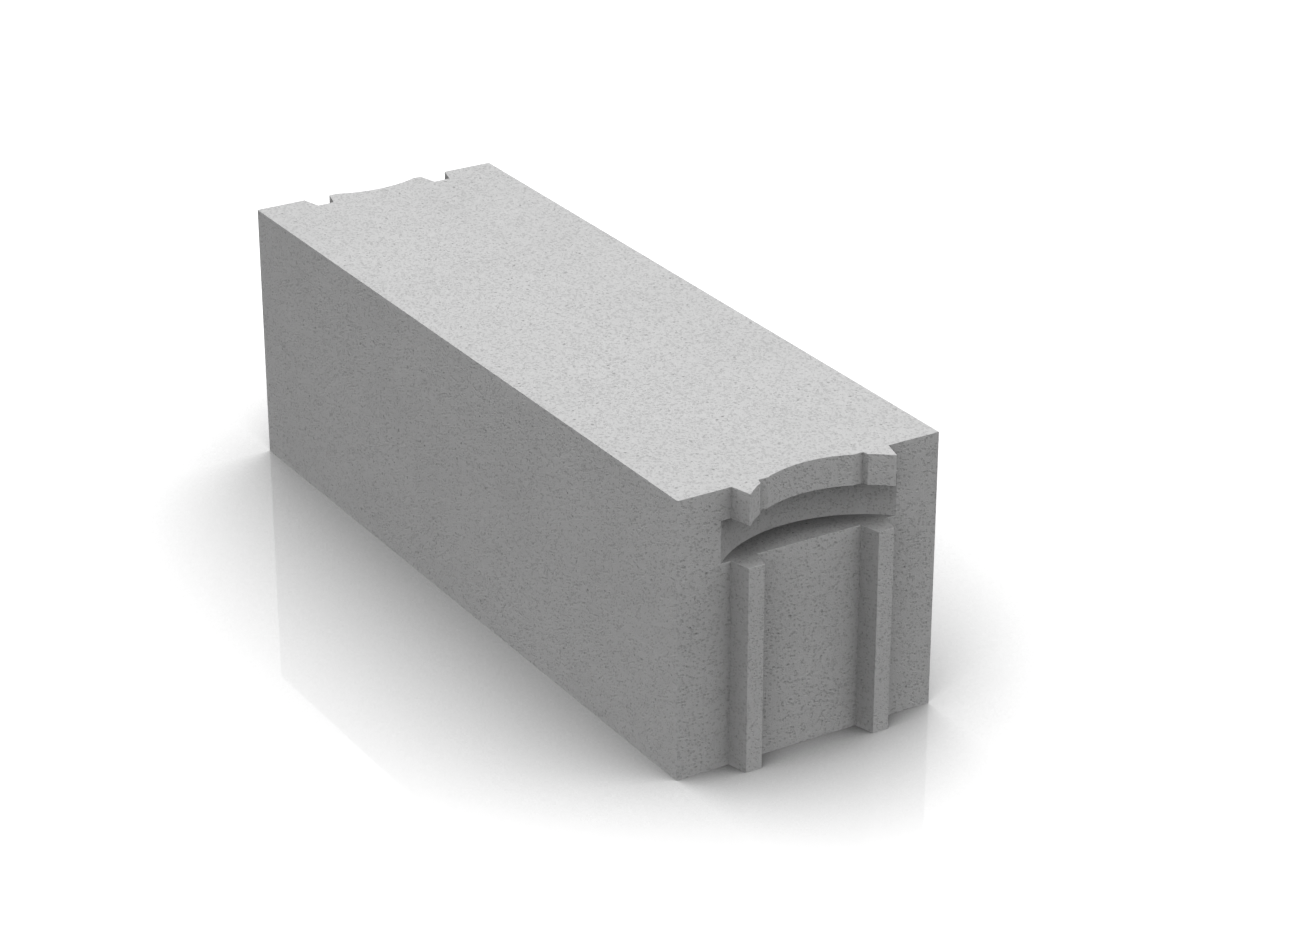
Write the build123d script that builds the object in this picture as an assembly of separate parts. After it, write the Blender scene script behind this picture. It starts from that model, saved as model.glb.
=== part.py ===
from build123d import *

import os

# Aerated concrete wall block, cut and milled from one piece.
# A solid block with two tongues down one end, two grooves down the other, and a grip
# pocket milled under the top edge of each end. Millimetres, +Z up, +X towards the
# tongues. The origin is the centre of the bottom bed face, midway between the end faces.

# Block body, between its two end faces
length = 600.0
width = 200.0
height = 200.0

# Tongues, each a trapezium in plan that runs the full height
tongue_spacing = 100.0
tongue_root_width = 20.0
tongue_tip_width = 12.0
tongue_depth = 15.0

# Room left around a neighbour's tongue, on each side and at its tip
groove_clearance = 0.5

# Grip pockets, each cut by a two-step disc that turns about an upright axis
lip_thickness = 22.0
slot_height = 30.0
cutter_axis_offset = 73.0
slot_cutter_radius = 99.5
lip_cutter_radius = 80.0

# How far the cutters run past the faces that they break through
overrun = 5.0

TONGUE_END = 1
GROOVE_END = -1


def rib(root_width, tip_width, depth):
    """A trapezium in plan, with its root on X = 0 and its tip towards +X."""
    root = root_width / 2
    tip = tip_width / 2
    with BuildSketch() as sketch:
        with BuildLine():
            # The first two points reach back past the root, to overlap what is joined or cut
            Polyline(
                (-overrun, root),
                (-overrun, -root),
                (0, -root),
                (depth, -tip),
                (depth, tip),
                (0, root),
                close=True,
            )
        make_face()
    return sketch.sketch


def plan_outline():
    """The block seen from above: a rectangle with tongues at one end and grooves at the other."""
    tongue = rib(tongue_root_width, tongue_tip_width, tongue_depth)
    groove = rib(
        tongue_root_width + 2 * groove_clearance,
        tongue_tip_width + 2 * groove_clearance,
        tongue_depth + groove_clearance,
    )
    with BuildSketch() as outline:
        Rectangle(length, width)
        for y in (-tongue_spacing / 2, tongue_spacing / 2):
            add(Pos(length / 2, y) * tongue)
            add(Pos(-length / 2, y) * groove, mode=Mode.SUBTRACT)
    return outline.sketch


def grip_cutter():
    """The milling disc: a wide step that cuts the finger slot, and a narrow one that trims the lip."""
    slot_top = -lip_thickness
    slot_floor = slot_top - slot_height
    with BuildPart() as cutter:
        with BuildSketch(Plane.XZ):
            with BuildLine():
                Polyline(
                    (0, slot_floor),
                    (slot_cutter_radius, slot_floor),
                    (slot_cutter_radius, slot_top),
                    (lip_cutter_radius, slot_top),
                    (lip_cutter_radius, overrun),
                    (0, overrun),
                    close=True,
                )
            make_face()
        revolve(axis=Axis.Z)
    return cutter.part


def aerated_block():
    """The whole block, extruded from its plan and milled at both ends."""
    cutter = grip_cutter()
    with BuildPart() as block:
        with BuildSketch():
            add(plan_outline())
        extrude(amount=height)
        for end in (TONGUE_END, GROOVE_END):
            axis_x = end * (length / 2 + cutter_axis_offset)
            add(Pos(axis_x, 0, height) * cutter, mode=Mode.SUBTRACT)
    return block.part


os.makedirs("parts", exist_ok=True)
export_step(aerated_block(), "parts/aerated_block.step")
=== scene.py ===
"""Aerated concrete wall block on a white studio floor. Metres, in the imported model's frame."""

import bisect
import math
import random

import bmesh
import bpy
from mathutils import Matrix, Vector
from mathutils.kdtree import KDTree


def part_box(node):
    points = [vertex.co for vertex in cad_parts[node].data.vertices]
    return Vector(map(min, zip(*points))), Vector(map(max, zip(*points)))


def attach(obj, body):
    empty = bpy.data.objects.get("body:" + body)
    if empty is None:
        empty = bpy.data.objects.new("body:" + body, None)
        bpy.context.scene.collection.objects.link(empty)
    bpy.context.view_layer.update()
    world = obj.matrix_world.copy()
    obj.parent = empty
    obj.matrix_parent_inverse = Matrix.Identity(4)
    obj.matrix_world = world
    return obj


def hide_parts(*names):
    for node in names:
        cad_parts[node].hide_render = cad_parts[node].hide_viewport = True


MM = 0.001
BLOCK = "aerated_block"
WHITE = (1, 1, 1, 1)

# Camera, found from the edges of the block in the photo
CAMERA_PLACE = (1.9361, -1.1232, 1.1202)
CAMERA_YAW = 148.4925
CAMERA_PITCH = -25.019
SENSOR_WIDTH = 36.0
LENS = 95.402

# Light of the dome: all round above the floor, and what is added overhead
ROUND_LIGHT = 0.735
OVERHEAD_LIGHT = 2.35
OVERHEAD_FOCUS = 16.0

# Floor: its glow to the camera, and its grey to the light that bounces
FLOOR_SIZE = 30.0
FLOOR_IOR = 1.45
FLOOR_GLOW = 0.43
FLOOR_DARK = 0.02

# Painted contact shadow, from the floor's nearness to the block and added to the real shadow: its reach,
# and how strongly it darkens the lit floor and the floor's glow
PAINTED_SHADOW_REACH = 2.0
PAINTED_SHADOW_SAMPLES = 8
PAINTED_SHADOW_LIT = 1.53
PAINTED_SHADOW_GLOW = 2.5

# Cut lines, in waves a metre along X, Y and Z: few along a line and many across it
LENGTHWISE_LINES = (7.0, 240.0, 240.0)
UPRIGHT_LINES = (240.0, 240.0, 7.0)
RIM_LINES = (12.0, 12.0, 330.0)
NO_LINES = (240.0, 240.0, 240.0)

# Finishes of the concrete. Each: its name, its grey, its cut lines, their height in millimetres,
# and how strongly painted shade darkens its recesses
FINISHES = (
    ("wire_cut_concrete", 0.67, LENGTHWISE_LINES, 0.14, 0.8),
    ("profiled_concrete", 0.67, UPRIGHT_LINES, 0.12, 0.8),
    ("lip_milled_concrete", 0.67, RIM_LINES, 0.12, 0.38),
    # Painted shade: the slot wall, slot floor and pore finishes are greyed darker than the concrete's
    # own 0.67
    ("slot_milled_painted_shade_concrete", 0.55, RIM_LINES, 0.12, 0.0),
    ("slot_floor_painted_shade_concrete", 0.555, UPRIGHT_LINES, 0.12, 0.58),
    ("open_pore_painted_shade_concrete", 0.52, NO_LINES, 0.10, 0.8),
    ("slot_pore_painted_shade_concrete", 0.43, NO_LINES, 0.10, 0.0),
)
WIRE_CUT, PROFILED, LIP_MILLED, SLOT_MILLED, SLOT_FLOOR, OPEN_PORE, SLOT_PORE = range(7)
PORE_FINISHES = (OPEN_PORE, SLOT_PORE)
ROUGHNESS = 0.9
SPECULAR = 0.1
# Painted shade of the recesses: how far the concrete's own walls count, and its samples
PAINTED_SHADE_REACH = 0.1
PAINTED_SHADE_SAMPLES = 4

# Noises of the concrete: waves a metre and detail. The stretch of the cut lines sets their waves.
# A noise runs from 0 to 1 round its middle
NOISE_MIDDLE = 0.5
CLOUDS = (11.0, 3.0)
MOTTLES = (170.0, 2.0)
GRAIN = (1900.0, 1.0)
LINES = (1.0, 1.0)

# Bubbles of the concrete: cells a metre, and their smallest and largest radius in cells
BUBBLES = (480.0, 0.22, 0.56)
FINE_BUBBLES = (1250.0, 0.30, 0.50)

# How much each texture changes the grey, as a share of it. The bubbles' darkening is painted shade in
# their hollows
CLOUD_SWING = 0.10
MOTTLE_SWING = 0.10
GRAIN_SWING = 0.10
LINE_SWING = 0.06
BUBBLE_PAINTED_SHADE = -0.16
FINE_BUBBLE_PAINTED_SHADE = -0.10

# Height of each texture in millimetres
GRAIN_HEIGHT = 0.04
BUBBLE_HEIGHT = -0.30
FINE_BUBBLE_HEIGHT = -0.10

# Points closer than this are one point, and places are rounded to it where they set an order
SAME_PLACE = 0.001 * MM

# Faces that turn by less than this are one flat face
FLAT_ANGLE = math.radians(0.2)

# Arris of the cut edges
ARRIS = 0.12 * MM
ARRIS_ANGLE = math.radians(30)
SHARP_ANGLE = math.radians(15)

# Patches that the flat faces are divided into, which keeps every face small
PATCH = 23.5 * MM
FIRST_PATCH = 11.0 * MM

# Faces told apart by their normals and places: along an axis, across it, and near a plane or an arc
ALONG_AXIS = 0.99
ACROSS_AXIS = 0.01
NEAR_PLANE = 1.0 * MM
NEAR_ARC = 0.3 * MM

# Grip pockets: how far each disc's upright axis is outside its end face, and its two steps by
# radius and finish
GRIP_AXIS_OFFSET = 73.0 * MM
GRIP_STEPS = ((80.0 * MM, LIP_MILLED), (99.5 * MM, SLOT_MILLED))

# Open pores of the surface: their number, radii and the room round them
PORE_COUNT = 5200
PORE_SEED = 7
SMALLEST_PORE = 0.50 * MM
PORE_SPREAD = 0.75 * MM
PORE_SKEW = 3.0
PORE_GAP = 0.5 * MM
EDGE_GAP = 1.2 * MM
PORE_CELL = 4.0 * MM
EDGE_STEP = 1.0 * MM

# Shape of a pore, a shallow bowl on spokes, with a waist between rim and bottom. A spoke's turn is
# a share of the angle between two spokes
PORE_SIDES = (6, 7, 7, 8)
PORE_SQUEEZE = (0.80, 1.0)
SPOKE_TURN = 0.18

# Sizes of a pore as shares of its radius
PORE_DEPTH = (0.28, 0.40)
PORE_LEAN = 0.05
SPOKE_LENGTH = (0.88, 1.12)

# Rim and waist of a pore: their widths as shares of its spokes, and how far the rim is above the
# surface and the waist below it as shares of its depth
RIM_WIDTH = 1.11
WAIST_WIDTH = 0.55
PORE_PROUD = 0.15
WAIST_DEPTH = 0.6


def new_material(name):
    """An empty node material, with its tree and its output node."""
    material = bpy.data.materials.new(name)
    material.use_nodes = True
    tree = material.node_tree
    tree.nodes.clear()
    return material, tree, tree.nodes.new("ShaderNodeOutputMaterial")


def math_node(tree, operation, *values):
    """One math step, whose inputs are sockets or plain numbers."""
    node = tree.nodes.new("ShaderNodeMath")
    node.operation = operation
    for socket, value in zip(node.inputs, values):
        if isinstance(value, (int, float)):
            socket.default_value = value
        else:
            tree.links.new(value, socket)
    return node.outputs[0]


def mix_by(tree, factor, first, second, output):
    """Two shaders mixed into an output: the first where the factor is 0, the second where it is 1."""
    mix = tree.nodes.new("ShaderNodeMixShader")
    tree.links.new(factor, mix.inputs[0])
    tree.links.new(first.outputs[0], mix.inputs[1])
    tree.links.new(second.outputs[0], mix.inputs[2])
    tree.links.new(mix.outputs[0], output.inputs["Surface"])


def place_camera():
    """The photo's own viewpoint, with its picture centre on the lens's axis."""
    yaw, pitch = math.radians(CAMERA_YAW), math.radians(CAMERA_PITCH)
    forward = Vector((
        math.cos(pitch) * math.cos(yaw),
        math.cos(pitch) * math.sin(yaw),
        math.sin(pitch),
    ))
    data = bpy.data.cameras.new("camera")
    data.sensor_width = SENSOR_WIDTH
    data.lens = LENS
    camera = bpy.data.objects.new("camera", data)
    bpy.context.scene.collection.objects.link(camera)
    camera.location = CAMERA_PLACE
    camera.rotation_euler = forward.to_track_quat("-Z", "Y").to_euler()
    bpy.context.scene.camera = camera


def light_dome():
    """A studio dome, brightest overhead. The camera and reflections see plain white."""
    world = bpy.data.worlds.new("dome")
    world.use_nodes = True
    tree = world.node_tree
    tree.nodes.clear()
    output = tree.nodes.new("ShaderNodeOutputWorld")
    white = tree.nodes.new("ShaderNodeBackground")
    dome = tree.nodes.new("ShaderNodeBackground")
    where = tree.nodes.new("ShaderNodeTexCoord")
    split = tree.nodes.new("ShaderNodeSeparateXYZ")
    path = tree.nodes.new("ShaderNodeLightPath")
    white.inputs["Color"].default_value = WHITE
    dome.inputs["Color"].default_value = WHITE
    tree.links.new(where.outputs["Generated"], split.inputs[0])
    height = math_node(tree, "MAXIMUM", split.outputs["Z"], 0.0)
    focus = math_node(tree, "POWER", height, OVERHEAD_FOCUS)
    overhead = math_node(tree, "MULTIPLY", focus, OVERHEAD_LIGHT)
    strength = math_node(tree, "ADD", overhead, ROUND_LIGHT)
    tree.links.new(strength, dome.inputs["Strength"])
    seen = math_node(tree, "MAXIMUM", path.outputs["Is Camera Ray"], path.outputs["Is Glossy Ray"])
    mix_by(tree, seen, dome, white, output)
    bpy.context.scene.world = world


def floor_material():
    """White and faintly glossy to the camera, with a contact shadow painted into its colour and glow
    from its nearness to the block. Dark to the light that bounces.
    """
    material, tree, output = new_material("studio_floor")
    shine = tree.nodes.new("ShaderNodeBsdfPrincipled")
    dark = tree.nodes.new("ShaderNodeBsdfDiffuse")
    path = tree.nodes.new("ShaderNodeLightPath")
    near = tree.nodes.new("ShaderNodeAmbientOcclusion")
    near.samples = PAINTED_SHADOW_SAMPLES
    near.inputs["Distance"].default_value = PAINTED_SHADOW_REACH
    dark.inputs["Color"].default_value = (FLOOR_DARK, FLOOR_DARK, FLOOR_DARK, 1)
    shine.inputs["Roughness"].default_value = 0.0
    shine.inputs["IOR"].default_value = FLOOR_IOR
    shine.inputs["Emission Color"].default_value = WHITE
    # Painted contact shadow: the floor's nearness to the block darkens its colour and its glow, on top
    # of the real shadow
    lit = math_node(tree, "POWER", near.outputs["AO"], PAINTED_SHADOW_LIT)
    glow = math_node(tree, "POWER", near.outputs["AO"], PAINTED_SHADOW_GLOW)
    strength = math_node(tree, "MULTIPLY", glow, FLOOR_GLOW)
    tree.links.new(lit, shine.inputs["Base Color"])
    tree.links.new(strength, shine.inputs["Emission Strength"])
    mix_by(tree, path.outputs["Is Camera Ray"], dark, shine, output)
    return material


def lay_floor():
    """A flat white floor at the block's base."""
    half = FLOOR_SIZE / 2
    mesh = bpy.data.meshes.new("floor")
    corners = [(-half, -half, 0), (half, -half, 0), (half, half, 0), (-half, half, 0)]
    mesh.from_pydata(corners, [], [(0, 1, 2, 3)])
    floor = bpy.data.objects.new("floor", mesh)
    bpy.context.scene.collection.objects.link(floor)
    mesh.materials.append(floor_material())


def noise(tree, where, scale, detail, stretch=(1, 1, 1)):
    """Noise from 0 to 1 round 0.5, of a scale in waves a metre, which the stretch multiplies by axis."""
    mapping = tree.nodes.new("ShaderNodeMapping")
    mapping.inputs["Scale"].default_value = stretch
    tree.links.new(where, mapping.inputs["Vector"])
    node = tree.nodes.new("ShaderNodeTexNoise")
    node.inputs["Scale"].default_value = scale
    node.inputs["Detail"].default_value = detail
    tree.links.new(mapping.outputs[0], node.inputs["Vector"])
    return node.outputs["Fac"]


def bubbles(tree, where, scale, smallest, largest):
    """Round bubbles sliced open by the surface: 1 at the bottom of one, 0 outside them."""
    node = tree.nodes.new("ShaderNodeTexVoronoi")
    node.inputs["Scale"].default_value = scale
    tree.links.new(where, node.inputs["Vector"])
    split = tree.nodes.new("ShaderNodeSeparateXYZ")
    tree.links.new(node.outputs["Color"], split.inputs[0])
    radius = math_node(tree, "MULTIPLY_ADD", split.outputs["X"], largest - smallest, smallest)
    ratio = math_node(tree, "DIVIDE", node.outputs["Distance"], radius)
    left = math_node(tree, "SUBTRACT", 1.0, math_node(tree, "MULTIPLY", ratio, ratio))
    return math_node(tree, "SQRT", math_node(tree, "MAXIMUM", left, 0.0))


def tone(tree, value, centre, swing):
    """A factor near 1 that follows a value round its centre."""
    return math_node(tree, "MULTIPLY_ADD", math_node(tree, "SUBTRACT", value, centre), swing, 1.0)


def painted_recess_shade(tree, strength):
    """Painted shade: a colour factor, darker where the concrete's own walls stand close by."""
    near = tree.nodes.new("ShaderNodeAmbientOcclusion")
    near.samples = PAINTED_SHADE_SAMPLES
    near.only_local = True
    near.inputs["Distance"].default_value = PAINTED_SHADE_REACH
    return math_node(tree, "POWER", near.outputs["AO"], strength)


def concrete(name, grey, line_stretch, line_height, painted_shade_strength):
    """Cloudy grey, bubbles sliced open down to a fraction of a millimetre, and cut lines, with painted
    shade in the recesses and in the bubbles' hollows.
    """
    material, tree, output = new_material(name)
    where = tree.nodes.new("ShaderNodeTexCoord").outputs["Object"]
    cloud = noise(tree, where, *CLOUDS)
    mottle = noise(tree, where, *MOTTLES)
    grain = noise(tree, where, *GRAIN)
    lines = noise(tree, where, *LINES, line_stretch)
    coarse = bubbles(tree, where, *BUBBLES)
    fine = bubbles(tree, where, *FINE_BUBBLES)

    # Colour, with painted shade in the recesses and at the bottoms of the bubbles
    shade = math_node(tree, "MULTIPLY", painted_recess_shade(tree, painted_shade_strength), grey)
    factors = (
        tone(tree, cloud, NOISE_MIDDLE, CLOUD_SWING),
        tone(tree, mottle, NOISE_MIDDLE, MOTTLE_SWING),
        tone(tree, grain, NOISE_MIDDLE, GRAIN_SWING),
        tone(tree, lines, NOISE_MIDDLE, LINE_SWING),
        # Painted shade at the bottoms of the bubbles
        tone(tree, coarse, 0.0, BUBBLE_PAINTED_SHADE),
        tone(tree, fine, 0.0, FINE_BUBBLE_PAINTED_SHADE),
    )
    for factor in factors:
        shade = math_node(tree, "MULTIPLY", shade, factor)

    # Height in millimetres
    height = math_node(tree, "MULTIPLY", coarse, BUBBLE_HEIGHT)
    height = math_node(tree, "MULTIPLY_ADD", fine, FINE_BUBBLE_HEIGHT, height)
    height = math_node(tree, "MULTIPLY_ADD", grain, GRAIN_HEIGHT, height)
    height = math_node(tree, "MULTIPLY_ADD", lines, line_height, height)
    bump = tree.nodes.new("ShaderNodeBump")
    bump.inputs["Strength"].default_value = 1.0
    bump.inputs["Distance"].default_value = MM
    tree.links.new(height, bump.inputs["Height"])

    shader = tree.nodes.new("ShaderNodeBsdfPrincipled")
    shader.inputs["Roughness"].default_value = ROUGHNESS
    shader.inputs["Specular IOR Level"].default_value = SPECULAR
    tree.links.new(shade, shader.inputs["Base Color"])
    tree.links.new(bump.outputs[0], shader.inputs["Normal"])
    tree.links.new(shader.outputs[0], output.inputs["Surface"])
    return material


def finish_of(normal, place, low, high):
    """Which finish a face of the block has, by what cut it.

    Wires leave the long sides, the top and the bottom. The disc's rim leaves the arcs of the
    grips, and its flat side the floors of the slots and the tops of the tongues. The finishes of the
    slot wall and of the slot floors and tongue tops are greyed darker, which is painted shade.
    """
    to_side = min(abs(place.y - low.y), abs(place.y - high.y))
    to_bed = min(abs(place.z - low.z), abs(place.z - high.z))
    on_side = abs(normal.y) > ALONG_AXIS and to_side < NEAR_PLANE
    on_bed = abs(normal.z) > ALONG_AXIS and to_bed < NEAR_PLANE
    if on_side or on_bed:
        return WIRE_CUT
    if normal.z > ALONG_AXIS:
        return SLOT_FLOOR

    # Half the length is read at the groove end, because nothing stands out of it
    grip_axis = abs(low.x) + GRIP_AXIS_OFFSET
    from_axis = math.hypot(abs(place.x) - grip_axis, place.y)
    for radius, finish in GRIP_STEPS:
        if abs(normal.z) < ACROSS_AXIS and abs(from_axis - radius) < NEAR_ARC:
            return finish
    return PROFILED


def cut_into_patches(blank, low, high):
    """Planes across each axis cut the faces into patches."""
    for axis in range(3):
        normal = Vector((0, 0, 0))
        normal[axis] = 1.0
        place = low.copy()
        place[axis] += FIRST_PATCH
        while place[axis] < high[axis]:
            everything = blank.verts[:] + blank.edges[:] + blank.faces[:]
            bmesh.ops.bisect_plane(
                blank, geom=everything, dist=SAME_PLACE, plane_co=place, plane_no=normal,
            )
            place[axis] += PATCH


def in_fixed_order(loose):
    """The same mesh with its points and faces sorted by place, because cuts leave them in any order."""
    points = sorted(loose.verts, key=lambda vert: tuple(round(value / SAME_PLACE) for value in vert.co))
    number = {vert: index for index, vert in enumerate(points)}
    outlines = []
    for face in loose.faces:
        corners = [number[vert] for vert in face.verts]
        first = corners.index(min(corners))
        outlines.append((corners[first:] + corners[:first], face.material_index))
    ordered = bmesh.new()
    verts = [ordered.verts.new(vert.co) for vert in points]
    for corners, finish in sorted(outlines):
        face = ordered.faces.new([verts[index] for index in corners])
        face.material_index = finish
    ordered.normal_update()
    loose.free()
    return ordered


def blank_block(node):
    """The CAD block as whole flat faces, with a fine arris on its edges, divided into patches."""
    blank = bmesh.new()
    blank.from_mesh(node.data)
    bmesh.ops.remove_doubles(blank, verts=blank.verts, dist=SAME_PLACE)
    bmesh.ops.dissolve_limit(blank, angle_limit=FLAT_ANGLE, verts=blank.verts, edges=blank.edges)
    low, high = (Vector(corner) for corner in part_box(BLOCK))
    for face in blank.faces:
        face.material_index = finish_of(face.normal, face.calc_center_median(), low, high)
    sharp = [edge for edge in blank.edges if edge.calc_face_angle() > ARRIS_ANGLE and edge.is_convex]
    bmesh.ops.bevel(
        blank, geom=sharp, offset=ARRIS, offset_type="OFFSET", segments=1,
        profile=0.5, affect="EDGES", clamp_overlap=True, material=-1,
    )
    cut_into_patches(blank, low, high)
    return in_fixed_order(blank)


def edge_tree(blank):
    """Places along the sharp edges, to measure how far a pore is from them."""
    places = []
    for edge in blank.edges:
        if edge.calc_face_angle() < SHARP_ANGLE:
            continue
        start, end = (vert.co for vert in edge.verts)
        steps = max(1, math.ceil((end - start).length / EDGE_STEP))
        places += [start.lerp(end, step / steps) for step in range(steps + 1)]
    tree = KDTree(len(places))
    for index, place in enumerate(places):
        tree.insert(place, index)
    tree.balance()
    return tree


def corner_places(triangle):
    """The three places of a triangle's corners."""
    return [loop.vert.co for loop in triangle]


def place_in(triangle, draw):
    """A place drawn evenly from a triangle."""
    a, b, c = corner_places(triangle)
    along, across = draw.random(), draw.random()
    if along + across > 1:
        along, across = 1 - along, 1 - across
    return a + (b - a) * along + (c - a) * across


def pores_near(cell, taken):
    """Places and radii of the pores in a cell and in those round it."""
    return [
        pore
        for x in (-1, 0, 1) for y in (-1, 0, 1) for z in (-1, 0, 1)
        for pore in taken.get((cell[0] + x, cell[1] + y, cell[2] + z), ())
    ]


def scatter_pores(blank, draw):
    """Each pore's place, normal, radius and finish, clear of the edges and of other pores."""
    edges = edge_tree(blank)
    triangles = blank.calc_loop_triangles()
    reach = []
    total = 0.0
    for triangle in triangles:
        a, b, c = corner_places(triangle)
        total += (b - a).cross(c - a).length / 2
        reach.append(total)
    pores = []
    taken = {}
    while len(pores) < PORE_COUNT:
        triangle = triangles[bisect.bisect_left(reach, draw.random() * total)]
        place = place_in(triangle, draw)
        radius = SMALLEST_PORE + PORE_SPREAD * draw.random() ** PORE_SKEW
        if edges.find(place)[2] < radius + EDGE_GAP:
            continue
        cell = tuple(math.floor(value / PORE_CELL) for value in place)
        near = pores_near(cell, taken)
        if any((place - other).length < radius + size + PORE_GAP for other, size in near):
            continue
        taken.setdefault(cell, []).append((place, radius))
        face = triangle[0].face
        # Pores in the slot wall take its darker painted shade
        finish = SLOT_PORE if face.material_index == SLOT_MILLED else OPEN_PORE
        pores.append((place, face.normal.copy(), radius, finish))
    return pores


def pore_cutter(cutters, pore, draw):
    """An uneven bowl that stands a little out of the surface, to be cut from it."""
    place, normal, radius, finish = pore
    sides = draw.choice(PORE_SIDES)
    depth = radius * draw.uniform(*PORE_DEPTH)
    squeeze = draw.uniform(*PORE_SQUEEZE)
    turn = draw.uniform(0, math.tau)
    right = normal.orthogonal().normalized()
    up = normal.cross(right)
    across = right * math.cos(turn) + up * math.sin(turn)
    along = normal.cross(across)
    spokes = []
    for side in range(sides):
        angle = math.tau * (side + draw.uniform(-SPOKE_TURN, SPOKE_TURN)) / sides
        length = radius * draw.uniform(*SPOKE_LENGTH)
        sideways = across * (math.cos(angle) * length)
        spokes.append(sideways + along * (math.sin(angle) * length * squeeze))
    lean_across = across * draw.uniform(-PORE_LEAN, PORE_LEAN)
    lean_along = along * draw.uniform(-PORE_LEAN, PORE_LEAN)
    lean = (lean_across + lean_along) * radius
    above = place + normal * (depth * PORE_PROUD)
    below = place + lean - normal * (depth * WAIST_DEPTH)
    rim = [cutters.verts.new(above + spoke * RIM_WIDTH) for spoke in spokes]
    waist = [cutters.verts.new(below + spoke * WAIST_WIDTH) for spoke in spokes]
    bottom = cutters.verts.new(place + lean - normal * depth)
    faces = [cutters.faces.new(rim)]
    for side in range(sides):
        after = (side + 1) % sides
        faces.append(cutters.faces.new((rim[side], waist[side], waist[after], rim[after])))
        faces.append(cutters.faces.new((waist[side], bottom, waist[after])))
    for face in faces:
        face.material_index = finish


def object_of(name, mesh, finishes):
    """An object of a mesh in the making, with the block's finishes."""
    data = bpy.data.meshes.new(name)
    mesh.to_mesh(data)
    mesh.free()
    for finish in finishes:
        data.materials.append(finish)
    thing = bpy.data.objects.new(name, data)
    bpy.context.scene.collection.objects.link(thing)
    return thing


def carve(piece, tool):
    """Cuts the tool out of the piece, and deletes the tool."""
    cut = piece.modifiers.new("pores", "BOOLEAN")
    cut.operation = "DIFFERENCE"
    cut.solver = "MANIFOLD"
    cut.object = tool
    graph = bpy.context.evaluated_depsgraph_get()
    carved = bpy.data.meshes.new_from_object(piece.evaluated_get(graph), depsgraph=graph)
    piece.modifiers.clear()
    piece.data = carved
    bpy.data.objects.remove(tool)


def crisp_edges(mesh):
    """Smooth shading in the arcs and inside the pores, with every cut edge and pore rim sharp."""
    shaded = bmesh.new()
    shaded.from_mesh(mesh)
    for face in shaded.faces:
        face.smooth = True
    for edge in shaded.edges:
        in_pore = [face.material_index in PORE_FINISHES for face in edge.link_faces]
        is_rim = any(in_pore) and not all(in_pore)
        is_cut = not any(in_pore) and edge.calc_face_angle() > SHARP_ANGLE
        edge.smooth = not (is_rim or is_cut)
    shaded.to_mesh(mesh)
    shaded.free()


def pored_block(node):
    """The block with the open pores of its surface, in place of the CAD node."""
    finishes = [concrete(*finish) for finish in FINISHES]
    draw = random.Random(PORE_SEED)
    blank = blank_block(node)
    pores = scatter_pores(blank, draw)
    cutters = bmesh.new()
    for pore in pores:
        pore_cutter(cutters, pore, draw)
    piece = object_of("pored_block", blank, finishes)
    carve(piece, object_of("pore_cutters", cutters, finishes))
    crisp_edges(piece.data)
    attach(piece, "root")
    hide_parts(BLOCK)


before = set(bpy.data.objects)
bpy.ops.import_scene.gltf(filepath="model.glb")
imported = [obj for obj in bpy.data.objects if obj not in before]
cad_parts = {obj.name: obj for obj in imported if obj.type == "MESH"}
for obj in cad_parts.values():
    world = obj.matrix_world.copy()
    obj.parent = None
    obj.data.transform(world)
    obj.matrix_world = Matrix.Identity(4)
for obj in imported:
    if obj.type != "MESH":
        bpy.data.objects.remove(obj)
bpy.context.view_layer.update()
bpy.context.scene.view_settings.view_transform = "Standard"
place_camera()
light_dome()
lay_floor()
pored_block(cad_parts[BLOCK])
